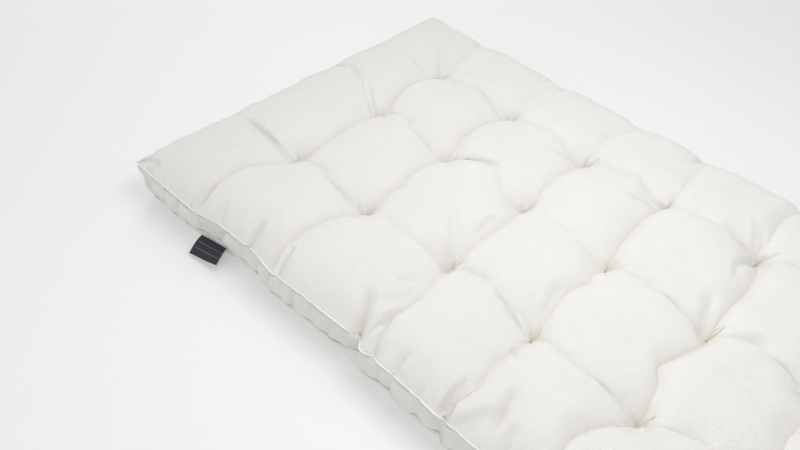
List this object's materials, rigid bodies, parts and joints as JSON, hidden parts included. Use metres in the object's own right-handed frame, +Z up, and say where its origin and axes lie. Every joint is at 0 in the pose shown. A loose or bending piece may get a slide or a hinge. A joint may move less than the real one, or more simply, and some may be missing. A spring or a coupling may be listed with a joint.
{
  "type": "tufted crib mattress",
  "caption": "Flat crib mattress of filled cotton, drawn down by thread ties into full pillows, with raised seams round its box sides and a blank label sewn into the lower seam.",
  "frame": {"origin": "centre of the footprint, label included, on the surface that the mattress lies on", "axes": "+X along the mattress from the head end to the foot end, +Y from the side with the label to the far side, +Z up"},
  "size_m": [1.3289, 0.747, 0.0985],
  "materials": {
    "cotton_cover": "off-white plain woven cotton, matt",
    "welt_cotton": "off-white cotton, rolled and stitched",
    "tie_thread": "cream cotton thread",
    "label_cloth": "dark slate woven tape with two thin pale lines"
  },
  "bodies": {
    "root": {"filled_pad": "cotton_cover", "top_welt": "welt_cotton", "bottom_welt": "welt_cotton", "label": "label_cloth", "tie_1_1": "tie_thread", "tie_1_2": "tie_thread", "tie_1_3": "tie_thread", "tie_2_1": "tie_thread", "tie_2_2": "tie_thread", "tie_2_3": "tie_thread", "tie_3_1": "tie_thread", "tie_3_2": "tie_thread", "tie_3_3": "tie_thread", "tie_4_1": "tie_thread", "tie_4_2": "tie_thread", "tie_4_3": "tie_thread", "tie_5_1": "tie_thread", "tie_5_2": "tie_thread", "tie_5_3": "tie_thread", "tie_6_1": "tie_thread", "tie_6_2": "tie_thread", "tie_6_3": "tie_thread", "tie_7_1": "tie_thread", "tie_7_2": "tie_thread", "tie_7_3": "tie_thread", "under_stitch_1_1": "tie_thread", "under_stitch_1_2": "tie_thread", "under_stitch_1_3": "tie_thread", "under_stitch_2_1": "tie_thread", "under_stitch_2_2": "tie_thread", "under_stitch_2_3": "tie_thread", "under_stitch_3_1": "tie_thread", "under_stitch_3_2": "tie_thread", "under_stitch_3_3": "tie_thread", "under_stitch_4_1": "tie_thread", "under_stitch_4_2": "tie_thread", "under_stitch_4_3": "tie_thread", "under_stitch_5_1": "tie_thread", "under_stitch_5_2": "tie_thread", "under_stitch_5_3": "tie_thread", "under_stitch_6_1": "tie_thread", "under_stitch_6_2": "tie_thread", "under_stitch_6_3": "tie_thread", "under_stitch_7_1": "tie_thread", "under_stitch_7_2": "tie_thread", "under_stitch_7_3": "tie_thread"}
  },
  "joints": []
}
